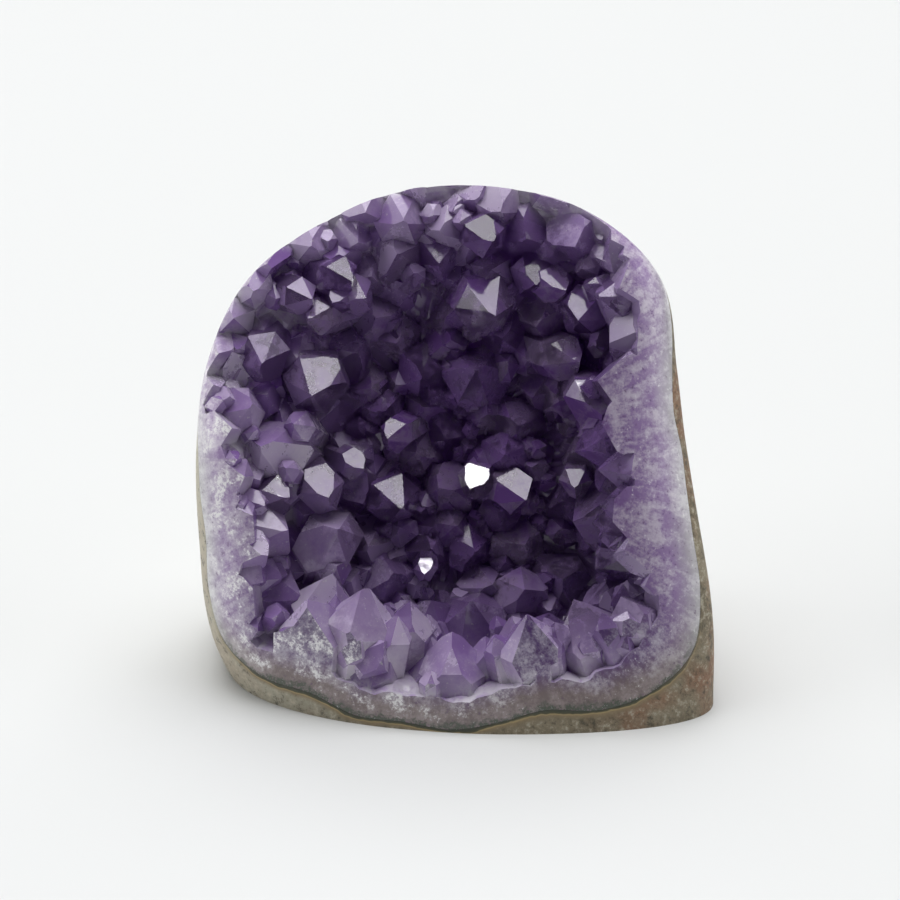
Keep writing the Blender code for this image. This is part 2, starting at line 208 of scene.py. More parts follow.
# Below, a pair of numbers is a span of values, or what such a span is turned into
RISING = (0.0, 1.0)
FALLING = (1.0, 0.0)
AT_FOOT = (-0.80, -0.50)

# All the quartz
QUARTZ_IOR = 1.544
ABSORPTION_COLOUR = (0.50, 0.18, 0.62)
ABSORPTION_DENSITY = 100.0
FACE_BUMP = 0.4 * MM
FACE_BUMP_STRENGTH = 0.2
BEDSIDE_COLOUR = (0.60, 0.45, 0.72)

# The crystals' colours: each runs from the first to the second
CLEAR_LILAC = ((0.46, 0.26, 0.72), (0.74, 0.56, 0.90))
DEEP_PURPLE = ((0.022, 0.006, 0.052), (0.14, 0.062, 0.25))
PALE_PURPLE = ((0.26, 0.12, 0.45), (0.92, 0.83, 0.98))
SUGARY_WHITE = (0.90, 0.88, 0.92)
# A veil's weights are of the clouds, the face's own value and the crystal's own value
VEIL_WEIGHTS = (0.9, 0.30, 0.14)
VEIL_SPAN = (0.42, 0.86)
# The milky root, in millimetres below the tip, with waves from the clouds
ROOT_WEIGHTS = (1.0, 9.0)
ROOT_SPAN = (7.0, 17.0)
ROOT_MILKY = 0.6
# Crystals turn pale towards the seam, and the weights of the ways across and up bring that on sooner at the
# left and at the foot
PALE_WEIGHTS = (1.0, -0.18, -0.10)
PALE_SPAN = (0.42, 0.82)
PALE_MILKY = 0.7
# The light end of a pale crystal's colour has weights of the root, the face's own value and the veil
LIGHT_WEIGHTS = (0.55, 0.3, 0.25)
# Sugary quartz where a crystal comes out of the massive layer, in millimetres off the bed, and flecks
SUGARY_OFF_BED = (4.0, 8.5)
SUGARY_CLOUDS = (0.40, 0.54)
SUGARY_PALE = (0.4, 0.9)
FLECK_GRIT = (0.62, 0.72)
FLECKS_WHERE_PALE = 0.6
FLECKS_ANYWHERE = 0.04
# How clear and rough a crystal's faces are. The lit crystals have only a share of paleness and roughness
CRYSTAL_CLEAR_TO_MILKY = (0.94, 0.30)
MILKY_ROUGHNESS = 0.16
FACE_SPAN = (0.3, 1.0)
FACE_ROUGHNESS = (0.02, 0.14)
LIT_SHARE = 0.3

# The ground rim: its bands are counted inwards from the seam, in this many millimetres, and have waves
RIM_BANDS = 24.0
RIM_WAVES = 7.0
# Where the rim is light has weights of the streaks, the clouds, the grit and the way across
RIM_WEIGHTS = (0.25, 0.5, 0.25, -0.02)
RIM_LIGHT = (0.41, 0.59)
SIDE_DARK = ((0.0, (0.58, 0.56, 0.59)), (0.2, (0.40, 0.28, 0.52)), (0.7, (0.24, 0.12, 0.38)))
SIDE_LIGHT = ((0.0, (0.84, 0.85, 0.84)), (0.25, (0.74, 0.66, 0.80)), (0.8, (0.62, 0.50, 0.72)))
# The foot's colours are darker and more purple than the sides'. This is partly the purple crystal sections
# that the ground foot shows, and partly painted shade of the lower rim, which faces down, away from the
# overhead light
FOOT_DARK = ((0.12, (0.23, 0.18, 0.18)), (0.3, (0.19, 0.12, 0.27)), (0.7, (0.14, 0.07, 0.24)))
FOOT_LIGHT = ((0.12, (0.36, 0.30, 0.30)), (0.3, (0.62, 0.57, 0.68)), (0.8, (0.50, 0.42, 0.62)))
# A thin green line along the seam at the foot
GREEN_AGATE = (0.10, 0.115, 0.09)
GREEN_BAND = (0.02, 0.065)
GREEN_GRIT = (0.36, 0.52)
# White tufts, most on the left, white flecks and dark grit
WHITE_QUARTZ = (0.95, 0.94, 0.95)
TUFT_CLOUDS = (0.50, 0.60)
TUFT_GRIT = (0.42, 0.56)
TUFT_BAND = (0.06, 0.16)
TUFT_ACROSS = (-0.3, 0.5)
TUFT_LEFT_TO_RIGHT = (0.9, 0.1)
RIM_FLECKS = 0.6
DARK_VIOLET = (0.15, 0.09, 0.18)
DARK_GRIT = (0.28, 0.40)
DARK_GRIT_SHARES = (0.6, 0.0)
CLEAR_BAND = (0.12, 0.6)
RIM_CLEAR = (0.05, 0.4)

# The rock: tan on the left and brown on the right, with a border that its patches break up
TAN_ROCK = ((0.3, (0.52, 0.50, 0.40)), (0.5, (0.70, 0.68, 0.56)), (0.7, (0.82, 0.80, 0.68)))
BROWN_ROCK = ((0.3, (0.15, 0.13, 0.085)), (0.5, (0.25, 0.21, 0.14)), (0.7, (0.36, 0.31, 0.22)))
BROWN_WEIGHTS = (1.6, 1.0)
BROWN_SPAN = (-0.55, 0.75)
RUST = (0.31, 0.15, 0.085)
RUST_SPAN = (0.46, 0.62)
RUST_SHARES = (0.0, 0.7)
RUST_ACROSS = (-0.5, 0.6)
RUST_LEFT_TO_RIGHT = (0.3, 1.0)
LIGHT_GRAIN = (0.60, 0.55, 0.44)
LIGHT_GRAINS = (0.5, 0.66)
LIGHT_GRAIN_SHARES = (0.0, 0.7)
DARK_GRAIN = (0.06, 0.055, 0.04)
DARK_GRAINS = (0.34, 0.48)
DARK_GRAIN_SHARES = (0.75, 0.0)
GRAIN_SPAN = (0.3, 0.7)
ROCK_ROUGHNESS = (0.5, 0.72)
ROCK_BUMP = 0.8 * MM
ROCK_BUMP_STRENGTH = 0.6
# The golden lining of the seam at the foot, in millimetres off the bed
LINING = ((0.0, (0.07, 0.075, 0.055)), (0.1, (0.10, 0.10, 0.06)), (0.14, (0.46, 0.35, 0.18)),
          (0.2, (0.30, 0.23, 0.13)), (0.4, (0.24, 0.20, 0.13)))
LINING_BANDS = 4.0
LINING_WAVE = 1.8
LINED = (0.5, 2.0)

# Floor and light: each square lamp has its name, place, side and radiance, and faces the slab's foot
FLOOR_RADIUS = 4.0
FLOOR_SEGMENTS = 96
FLOOR_COLOUR = (0.66, 0.67, 0.67)
FLOOR_ROUGHNESS = 0.6
SOFTBOXES = (
    ("ceiling", (0, 0.9, 2.4), 2.8, 3.9),
    ("left", (-2.0, -0.2, 0.9), 1.6, 2.15),
    ("right", (2.0, -0.2, 0.9), 1.6, 1.1),
    ("core", (0, 0.1, 2.3), 1.1, 1.6),
    ("lamp", (0.03, -0.02, 2.2), 0.15, 20.0),
)
WORLD_COLOUR = (1.0, 1.0, 1.0, 1)
WORLD_STRENGTH = 0.04

# The camera looks straight at the leaning face, and sees its centre at this place in a frame of this side
CAMERA_DISTANCE = 0.6
SENSOR_WIDTH = 36.0
PIXELS_PER_METRE = 5200.0
FRAME_PIXELS = 900
FACE_PIXEL = (452.0, 450.0)

Crystal = collections.namedtuple("Crystal", "tip axis facing across length")


def ring_value(values, angle):
    """A smooth closed curve through values that stand at equal angles."""
    count = len(values)
    place = angle / (2 * math.pi) * count
    start = math.floor(place)
    t = place - start
    before, a, b, after = (values[(start + k) % count] for k in (-1, 0, 1, 2))
    bend = 2 * before - 5 * a + 4 * b - after
    twist = -before + 3 * a - 3 * b + after
    return 0.5 * (2 * a + (b - before) * t + bend * t * t + twist * t ** 3)


def face_point(u, v, w):
    """The world place of a point in the frame of the leaning face."""
    return FACE_CENTRE + u * U_AXIS + v * V_AXIS + w * W_AXIS


def polar_point(angle, radius, w):
    return face_point(radius * math.cos(angle), radius * math.sin(angle), w)


def superellipse(share, power):
    """Height from 1 at the middle to 0 at the edge."""
    return max(0.0, 1 - share ** power) ** (1 / power)


def front_height(angle, share):
    """Height of the ground front: share is 0 at the face's middle and 1 at its belt."""
    belt = ring_value(BELT_HEIGHT, angle) * MM
    return belt + (FRONT_RISE - belt) * superellipse(share, FRONT_POWER)


def front_point(angle, share):
    return polar_point(angle, ring_value(OUTLINE_RADIUS, angle) * MM * share, front_height(angle, share))


def back_point(angle, share):
    """A point of the slab's back, which bulges from the belt to an upright plane and is raw and lumpy."""
    radius = ring_value(OUTLINE_RADIUS, angle) * MM * share
    belt = ring_value(BELT_HEIGHT, angle) * MM
    plane = (radius * math.sin(angle) * math.sin(FACE_LEAN) - BACK_PLANE_Y) / math.cos(FACE_LEAN)
    point = polar_point(angle, radius, belt + (plane - belt) * superellipse(share, BACK_POWER))
    raw = min(1.0, (1 - share) / RAW_EDGE)
    lump = noise.noise(point / LUMP_SIZE) + SMALL_LUMP * noise.noise(point / SMALL_LUMP_SIZE)
    lump += CHIP * noise.noise(point / CHIP_SIZE) + GRAIN * noise.noise(point / GRAIN_SIZE)
    return point + Vector((0, 1, 0)) * (raw * (BACK_LUMP * lump - LUMPS_SET_IN))


def seam_height(angle):
    share = min(1.0, ring_value(SEAM_RADIUS, angle) / ring_value(OUTLINE_RADIUS, angle))
    return front_height(angle, share) - ring_value(WRAP_DEPTH, angle) * MM


def bed_point(angle, share, inset=0.0):
    """A point of the crystals' bed, inset towards the hollow: share is 0 at its middle and 1 at the seam."""
    seam = seam_height(angle)
    radius = ring_value(SEAM_RADIUS, angle) * MM
    if share <= 1:
        height = seam + (BED_FLOOR - seam) * (1 - share ** ring_value(BED_POWER, angle))
    else:
        height = seam + BED_FLARE * (share - 1) * radius
    return polar_point(angle, radius * share - inset * min(share, 1.0), height + inset)


def no_gap(angle, share):
    """The rock comes right up to the bed."""
    return 0.0


def seam_gap(angle, share):
    """How far the crust stays off the rock: the same all over."""
    return SEAM_GAP


def massive_layer(angle, share):
    """How thick the massive quartz is: thickest where the edge was ground through it."""
    at_seam = ring_value(MASSIVE_LAYER, angle) * MM
    return MIDDLE_LAYER + (at_seam - MIDDLE_LAYER) * min(share, 1.0) ** 2


def bed_normal(angle, share):
    """The way out of the bed at a point, towards the hollow."""
    step = 0.01
    along = bed_point(angle, share + step) - bed_point(angle, share - step)
    around = bed_point(angle + step, share) - bed_point(angle - step, share)
    return along.cross(around).normalized()


def ring_shell(rings, first_pole, last_pole):
    """A closed mesh of rings of points, with a pole at each end."""
    mesh = bmesh.new()
    rows = [[mesh.verts.new(point) for point in ring] for ring in rings]
    for lower, upper in itertools.pairwise(rows):
        for k in range(len(lower)):
            after = (k + 1) % len(lower)
            mesh.faces.new((lower[k], lower[after], upper[after], upper[k]))
    for row, pole, turn in ((rows[0], first_pole, -1), (rows[-1], last_pole, 1)):
        tip = mesh.verts.new(pole)
        for k in range(len(row)):
            mesh.faces.new((row[k], row[(k + 1) % len(row)], tip)[::turn])
    bmesh.ops.recalc_face_normals(mesh, faces=mesh.faces)
    return mesh


def meridians(count, shift=0.0):
    """Equal angles. Forms that cut each other have theirs shifted, so that no edges meet."""
    return [2 * math.pi * (k + shift) / count for k in range(count)]


def ring_share(k, count):
    """Where a form's ring stands: the rings crowd towards its edge, where it turns fastest."""
    return math.sin(math.pi / 2 * k / count)


def outer_form():
    """The slab as it was ground, before the foot is sawn and the hollow is taken out."""
    turns = meridians(OUTER_SEGMENTS)
    rings = [[front_point(a, ring_share(k, FRONT_RINGS)) for a in turns] for k in range(1, FRONT_RINGS + 1)]
    for k in reversed(range(1, BACK_RINGS)):
        rings.append([back_point(a, ring_share(k, BACK_RINGS)) for a in turns])
    mesh = ring_shell(rings, front_point(0, 0), back_point(0, 0))
    for vert in mesh.verts:
        vert.co = FACE_CENTRE + (vert.co - FACE_CENTRE) * FINE_SCALE
    return mesh


def bed_form(inset, far_pole, shift=0.0):
    """The bed, flared past the slab's edge and closed by a far pole on the side that is wanted."""
    turns = meridians(BED_SEGMENTS, shift)
    shares = [ring_share(k, BED_RINGS) for k in range(1, BED_RINGS + 1)]
    shares += [1 + (FLARED_SHARE - 1) * k / FLARE_RINGS for k in range(1, FLARE_RINGS + 1)]
    rings = [[bed_point(a, share, inset(a, share)) for a in turns] for share in shares]
    return ring_shell(rings, bed_point(0, 0, inset(0, 0)), FACE_CENTRE + far_pole * W_AXIS)


def solid_between(normals, distances):
    """Corners and faces of the convex solid that lies behind all the given planes."""
    triples = np.array(list(itertools.combinations(range(len(normals)), 3)))
    sides, offsets = normals[triples], distances[triples]
    meet = np.abs(np.linalg.det(sides)) > LEAST_SPAN
    corners = np.linalg.solve(sides[meet], offsets[meet][..., None])[..., 0]
    inside = (corners @ normals.T <= distances + INSIDE_BY).all(axis=1)
    corners = np.unique(np.round(corners[inside], CORNER_DECIMALS), axis=0)
    faces = []
    for normal, distance in zip(normals, distances):
        on_face = np.flatnonzero(np.abs(corners @ normal - distance) < ON_FACE_BY)
        if len(on_face) < 3:
            continue
        spread = corners[on_face] - corners[on_face].mean(axis=0)
        across = spread[0] / np.linalg.norm(spread[0])
        around = np.arctan2(spread @ np.cross(normal, across), spread @ across)
        faces.append([int(k) for k in on_face[np.argsort(around)]])
    return corners, faces


def add_crystal(mesh, crystal, rng):
    """Adds one quartz crystal: a six-sided prism whose point has three larger faces and three smaller."""
    axis = crystal.axis.normalized()
    ahead = (crystal.facing - axis * crystal.facing.dot(axis)).normalized()
    aside = axis.cross(ahead)
    normals, distances = [-axis], [crystal.length]
    for k in range(6):
        turn = k * math.pi / 3
        outward = ahead * math.cos(turn) + aside * math.sin(turn)
        normals.append(outward)
        distances.append(crystal.across * rng.uniform(*PRISM_FACE))
        normals.append(axis * math.cos(RHOMB_TILT) + outward * math.sin(RHOMB_TILT))
        distances.append(crystal.across * rng.uniform(*(SMALLER_FACE if k % 2 else LARGER_FACE)))
    corners, faces = solid_between(np.array(normals), np.array(distances))
    verts = [mesh.verts.new(crystal.tip + Vector(corner)) for corner in corners]
    return [mesh.faces.new([verts[k] for k in face]) for face in faces]


def lit_crystal(u, v, w, across, lean, turn):
    """The crystal whose bright face lies about halfway between the way out of the slab and straight up."""
    bright = ((W_AXIS + UP).normalized() + U_AXIS * math.tan(math.radians(turn))).normalized()
    down_face = (bright * bright.dot(V_AXIS) - V_AXIS).normalized()
    lean_way = down_face * math.cos(math.radians(lean)) + U_AXIS * math.sin(math.radians(lean))
    axis = bright * math.cos(RHOMB_TILT) + lean_way * math.sin(RHOMB_TILT)
    facing = (bright - axis * math.cos(RHOMB_TILT)) / math.sin(RHOMB_TILT)
    from_tip = facing * math.cos(RHOMB_TILT) - axis * math.sin(RHOMB_TILT)
    tip = face_point(u * MM, v * MM, w * MM) - from_tip * (TIP_TO_BRIGHT_FACE * across * MM)
    return Crystal(tip, axis, facing, across * MM, PLACED_LENGTH)


def large_crystal(u, v, w, across, lean_u, lean_v):
    """A crystal with its point at a given place."""
    axis = W_AXIS + U_AXIS * math.tan(math.radians(lean_u)) + V_AXIS * math.tan(math.radians(lean_v))
    return Crystal(face_point(u * MM, v * MM, w * MM), axis.normalized(), V_AXIS, across * MM, PLACED_LENGTH)


def sway(rng):
    """A random direction and size, the same all round."""
    return Vector((rng.gauss(0, 1), rng.gauss(0, 1), rng.gauss(0, 1)))


def grown_crystal(rng, spacing=CRYSTAL_SPACING, share_of_reach=1.0):
    """A crystal somewhere on the bed, and the room that it leaves round its point."""
    angle = rng.uniform(0, 2 * math.pi)
    share = max(NEAREST_MIDDLE, rng.uniform(0.0, 1.0) ** TOWARDS_EDGE) * ring_value(LAST_SHARE, angle)
    turn = ring_value(OUTWARD_TURN, angle)
    axis = (bed_normal(angle, share) * (1 - turn) + W_AXIS * turn + sway(rng) * CRYSTAL_SWAY).normalized()
    edge_reach = ring_value(REACH, angle) * MM
    reach = (MIDDLE_REACH + (edge_reach - MIDDLE_REACH) * share ** 2) * rng.uniform(*REACH_SPREAD)
    reach *= share_of_reach
    room = spacing * rng.uniform(*SPACING_SPREAD)
    tip = bed_point(angle, share) + axis * reach
    return Crystal(tip, axis, sway(rng), room * rng.uniform(*WIDTH_FOR_ROOM), reach + CRYSTAL_ROOT), room


def main_crystals(rng):
    """The crystals that the solid has too: the placed ones, then others that don't crowd a point."""
    found = [lit_crystal(*row) for row in LIT_CRYSTALS]
    found += [large_crystal(*row) for row in LARGE_CRYSTALS]
    rooms = [crystal.across * PLACED_ROOM for crystal in found]
    for _ in range(CRYSTAL_DARTS):
        crystal, room = grown_crystal(rng)
        if all((crystal.tip - other.tip).length > (room + taken) / 2 for other, taken in zip(found, rooms)):
            found.append(crystal)
            rooms.append(room)
    return found


def beside(crystal, rng):
    """Lesser points that grew side by side with a crystal, in line with it."""
    ahead = (crystal.facing - crystal.axis * crystal.facing.dot(crystal.axis)).normalized()
    aside = crystal.axis.cross(ahead)
    found = []
    for _ in range(rng.randint(0, MOST_BESIDE)):
        turn = rng.uniform(0, 2 * math.pi)
        out = ahead * math.cos(turn) + aside * math.sin(turn)
        drop = crystal.across * rng.uniform(*LESSER_DROP)
        tip = crystal.tip + out * (crystal.across * rng.uniform(*LESSER_OFF)) - crystal.axis * drop
        across = crystal.across * rng.uniform(*LESSER_WIDTH)
        found.append(Crystal(tip, crystal.axis, crystal.facing, across, crystal.length - drop))
    return found


def small_crystals(large, rng):
    """Small crystals in the gaps between the large ones."""
    found = []
    tips = [crystal.tip for crystal in large]
    rooms = [crystal.across * PLACED_ROOM for crystal in large]
    for _ in range(SMALL_DARTS):
        crystal, room = grown_crystal(rng, SMALL_SPACING, SMALL_REACH)
        if all((crystal.tip - tip).length > (room + taken) / 2 for tip, taken in zip(tips, rooms)):
            found.append(crystal)
            tips.append(crystal.tip)
            rooms.append(room)
    return found


def sugary_layer(angle, share):
    """The massive quartz with the lumps of grains that stand out of it."""
    place = Vector((math.cos(angle) * GRAINS_ROUND, math.sin(angle) * GRAINS_ROUND, share * GRAINS_ALONG))
    return massive_layer(angle, share) + GRAINS_STAND_OUT * noise.noise(place)


def mark(mesh, origin):
    """Notes on a form's faces which form they belong to."""
    layer = mesh.faces.layers.int.new("origin")
    for face in mesh.faces:
        face[layer] = origin
    return mesh


def mark_crystal(mesh, number, faces):
    """Notes on a crystal's faces which crystal they belong to, and which of its faces each one is."""
    layer = mesh.faces.layers.int["origin"]
    for k, face in enumerate(faces):
        face[layer] = number * MOST_FACES + k


def growth():
    """The massive quartz and every crystal as shapes that overlap, and the list of the crystals."""
    rng = random.Random(GROWTH_SEED)
    mesh = mark(bed_form(sugary_layer, -CLEAR_OF_SLAB, GROWN_SHIFT), FROM_MASSIVE)
    main = main_crystals(rng)
    grown = list(main)
    for k, crystal in enumerate(main):
        mark_crystal(mesh, k + 1, add_crystal(mesh, crystal, rng))
    lesser = random.Random(LESSER_SEED)
    others = [other for crystal in main[len(LIT_CRYSTALS):] for other in beside(crystal, lesser)]
    others += small_crystals(main, lesser)
    for crystal in others:
        if crystal.tip.z < LESSER_TOP:
            grown.append(crystal)
            mark_crystal(mesh, len(grown), add_crystal(mesh, crystal, lesser))
    return mesh, grown


def add_object(name, mesh):
    bmesh.ops.triangulate(mesh, faces=mesh.faces)
    data = bpy.data.meshes.new(name)
    mesh.to_mesh(data)
    mesh.free()
    made = bpy.data.objects.new(name, data)
    bpy.context.scene.collection.objects.link(made)
    return made


def cut(target, operation, cutter, crossing=False):
    """One exact Boolean, made final. Crossing is for a cutter whose own shapes overlap each other."""
    step = target.modifiers.new(operation.title(), "BOOLEAN")
    step.operation = operation
    step.object = cutter
    step.solver = "EXACT"
    step.use_self = crossing
    made = bpy.data.meshes.new_from_object(target.evaluated_get(bpy.context.evaluated_depsgraph_get()))
    target.modifiers.clear()
    target.data = made
    bpy.data.objects.remove(cutter)


def keep_largest_shell(mesh):
    """Deletes the pockets that crystals seal off between them."""
    waiting = set(mesh.verts)
    shells = []
    while waiting:
        shell, border = set(), [waiting.pop()]
        while border:
            vert = border.pop()
            shell.add(vert)
            linked = {edge.other_vert(vert) for edge in vert.link_edges} & waiting
            waiting -= linked
            border.extend(linked)
        shells.append(shell)
    shells.sort(key=len)
    small = [vert for shell in shells[:-1] for vert in shell]
    bmesh.ops.delete(mesh, geom=small, context="VERTS")


def below_ground():
    """Everything under the plane that the foot was sawn on."""
    mesh = bmesh.new()
    size = 2 * CLEAR_OF_SLAB
    bmesh.ops.create_cube(mesh, size=size)
    bmesh.ops.translate(mesh, vec=-UP * size / 2, verts=mesh.verts)
    return mesh


def split_long_edges(mesh):
    """Splits long edges, so that values kept on the points follow the surface."""
    for _ in range(SPLIT_ROUNDS):
        edges = [edge for edge in mesh.edges if edge.calc_length() > LONGEST_EDGE]
        bmesh.ops.subdivide_edges(mesh, edges=edges, cuts=1)
        bmesh.ops.triangulate(mesh, faces=[face for face in mesh.faces if len(face.verts) > 3])


def whole_and_fine(piece):
    """One closed shell of triangles, none of them large, with flat crystal faces and smooth ground ones."""
    mesh = bmesh.new()
    mesh.from_mesh(piece.data)
    keep_largest_shell(mesh)
    bmesh.ops.triangulate(mesh, faces=mesh.faces)
    split_long_edges(mesh)
    origin = mesh.faces.layers.int["origin"]
    for face in mesh.faces:
        face.smooth = face[origin] <= FROM_MASSIVE
    mesh.to_mesh(piece.data)
    mesh.free()
    piece.data.set_sharp_from_angle(angle=SMOOTH_ANGLE)


def crust_shape():
    """The crust's object, and the list of the crystals that its faces' origins count through."""
    crust = add_object("quartz_crust", mark(outer_form(), FROM_OUTER))
    cut(crust, "DIFFERENCE", add_object("saw", mark(below_ground(), FROM_SAW)))
    mould = bed_form(seam_gap, CLEAR_OF_SLAB, BED_SHIFT)
    cut(crust, "INTERSECT", add_object("mould", mark(mould, FROM_BED)))
    mesh, grown = growth()
    cut(crust, "INTERSECT", add_object("grown", mesh), crossing=True)
    whole_and_fine(crust)
    return crust, grown


def rock_shape():
    rock = add_object("rock_body", mark(outer_form(), FROM_OUTER))
    bed = bed_form(no_gap, CLEAR_OF_SLAB, BED_SHIFT)
    cut(rock, "DIFFERENCE", add_object("bed", mark(bed, FROM_BED)))
    cut(rock, "DIFFERENCE", add_object("saw", mark(below_ground(), FROM_SAW)))
    whole_and_fine(rock)
    return rock


def keep_values(mesh, name, kind, domain, values):
    attribute = mesh.attributes.new(name, kind, domain)
    attribute.data.foreach_set("vector" if kind == "FLOAT_VECTOR" else "value", np.ravel(values))


def face_origins(mesh):
    origins = np.empty(len(mesh.polygons), dtype=np.int32)
    mesh.attributes["origin"].data.foreach_get("value", origins)
    return origins


def note_places(mesh):
    """Keeps what the materials need to know about each point's place on the slab, in millimetres."""
    bed_mesh = bed_form(no_gap, CLEAR_OF_SLAB)
    bed = BVHTree.FromBMesh(bed_mesh)
    bed_mesh.free()
    off_bed, ring, grain = [], [], []
    for vert in mesh.vertices:
        place = vert.co - FACE_CENTRE
        u, v = place.dot(U_AXIS), place.dot(V_AXIS)
        angle = math.atan2(v, u) % (2 * math.pi)
        seam = ring_value(SEAM_RADIUS, angle)
        across, upward, around = math.cos(angle), math.sin(angle), seam / STREAK_WIDTH
        off = bed.find_nearest(vert.co)[3] / MM
        off_bed.append(off)
        ring.append((across, upward, math.hypot(u, v) / (seam * MM)))
        grain.append((across * around, upward * around, off / STREAK_LENGTH))
    keep_values(mesh, "off_bed", "FLOAT", "POINT", off_bed)
    keep_values(mesh, "ring", "FLOAT_VECTOR", "POINT", ring)
    keep_values(mesh, "grain", "FLOAT_VECTOR", "POINT", grain)
    keep_values(mesh, "ground", "FLOAT", "FACE", (face_origins(mesh) == FROM_OUTER).astype(np.float32))


def note_crystals(mesh, grown):
    """Keeps values of each crystal and of each of its faces, and how far corners are below its tip."""
    shades = np.random.default_rng(LESSER_SEED)
    tints = shades.random(len(grown) + 1, dtype=np.float32)
    facets = shades.random((len(grown) + 1) * MOST_FACES, dtype=np.float32)
    of_facet = np.maximum(face_origins(mesh), 0)
    of_face = of_facet // MOST_FACES
    tips = np.array([FACE_CENTRE] + [crystal.tip for crystal in grown])
    axes = np.array([W_AXIS] + [crystal.axis.normalized() for crystal in grown])
    corners = np.empty(len(mesh.loops), dtype=np.int32)
    mesh.loops.foreach_get("vertex_index", corners)
    points = np.empty(len(mesh.vertices) * 3, dtype=np.float32)
    mesh.vertices.foreach_get("co", points)
    places = points.reshape(-1, 3)[corners]
    of_corner = np.repeat(of_face, 3)
    below = ((tips[of_corner] - places) * axes[of_corner]).sum(axis=1) / MM
    below[of_corner == 0] = BELOW_ANY_TIP
    glassy = (of_face > 0) & (of_face <= len(LIT_CRYSTALS))
    keep_values(mesh, "tint", "FLOAT", "FACE", tints[of_face])
    keep_values(mesh, "facet", "FLOAT", "FACE", facets[of_facet])
    keep_values(mesh, "glassy", "FLOAT", "FACE", glassy.astype(np.float32))
    keep_values(mesh, "below_tip", "FLOAT", "CORNER", below.astype(np.float32))
    keep_values(mesh, "bedside", "FLOAT", "FACE", (face_origins(mesh) == FROM_BED).astype(np.float32))


class Graph:
    """Short calls for building a material's nodes."""

    def __init__(self, name):
        self.material = bpy.data.materials.new(name)
        self.material.use_nodes = True
        self.tree = self.material.node_tree
        self.shader = self.tree.nodes["Principled BSDF"]
        self.place = self.tree.nodes.new("ShaderNodeTexCoord").outputs["Object"]

    def feed(self, socket, value):
        if isinstance(value, bpy.types.NodeSocket):
            self.tree.links.new(value, socket)
        elif isinstance(value, tuple) and socket.type == "RGBA":
            socket.default_value = (*value, 1)
        else:
            socket.default_value = value

    def set(self, **values):
        for name, value in values.items():
            self.feed(self.shader.inputs[name.replace("_", " ")], value)

    def attribute(self, name, output="Fac"):
        node = self.tree.nodes.new("ShaderNodeAttribute")
        node.attribute_name = name
        return node.outputs[output]

    def parts(self, vector):
        node = self.tree.nodes.new("ShaderNodeSeparateXYZ")
        self.feed(node.inputs[0], vector)
        return node.outputs

    def noise(self, pattern, place=None):
        node = self.tree.nodes.new("ShaderNodeTexNoise")
        self.feed(node.inputs["Vector"], place or self.place)
        for name, value in zip(("Scale", "Detail", "Roughness", "Distortion"), pattern):
            node.inputs[name].default_value = value
        return node.outputs["Fac"]

    def math(self, operation, a, b=0.0, c=0.0):
        node = self.tree.nodes.new("ShaderNodeMath")
        node.operation = operation
        for socket, value in zip(node.inputs, (a, b, c)):
            self.feed(socket, value)
        return node.outputs[0]

    def times(self, *values):
        product = values[0]
        for value in values[1:]:
            product = self.math("MULTIPLY", product, value)
        return product

    def most(self, *values):
        largest = values[0]
        for value in values[1:]:
            largest = self.math("MAXIMUM", largest, value)
        return largest

    def weighed(self, values, weights):
        """The sum of values, each times its weight."""
        total = 0.0
        for value, weight in zip(values, weights):
            total = self.math("MULTIPLY_ADD", value, weight, total)
        return total

    def rest(self, share):
        """What a share leaves of the whole."""
        return self.math("SUBTRACT", 1.0, share)

    def waved(self, value, noise, height):
        """A value moved up and down by a noise, to break up straight borders."""
        return self.math("MULTIPLY_ADD", self.math("SUBTRACT", noise, 0.5), height, value)

    def span(self, value, from_span, to_span=RISING):
        """Turns one span of values smoothly into another, and holds the ends beyond it."""
        node = self.tree.nodes.new("ShaderNodeMapRange")
        node.interpolation_type = "SMOOTHSTEP"
        self.feed(node.inputs["Value"], value)
        for name, end in zip(("From Min", "From Max", "To Min", "To Max"), (*from_span, *to_span)):
            node.inputs[name].default_value = end
        return node.outputs["Result"]

    def mix(self, share, a, b):
        node = self.tree.nodes.new("ShaderNodeMix")
        node.data_type = "RGBA"
        self.feed(node.inputs["Factor"], share)
        self.feed(node.inputs[6], a)
        self.feed(node.inputs[7], b)
        return node.outputs[2]

    def ramp(self, value, stops):
        """Colours along a value, as (place from 0 to 1, colour) pairs."""
        node = self.tree.nodes.new("ShaderNodeValToRGB")
        self.feed(node.inputs["Fac"], value)
        elements = node.color_ramp.elements
        while len(elements) < len(stops):
            elements.new(0.5)
        for element, (place, colour) in zip(elements, stops):
            element.position = place
            element.color = (*colour, 1)
        return node.outputs["Color"]

    def bump(self, height, distance, strength):
        node = self.tree.nodes.new("ShaderNodeBump")
        self.feed(node.inputs["Height"], height)
        node.inputs["Distance"].default_value = distance
        node.inputs["Strength"].default_value = strength
        return node.outputs["Normal"]


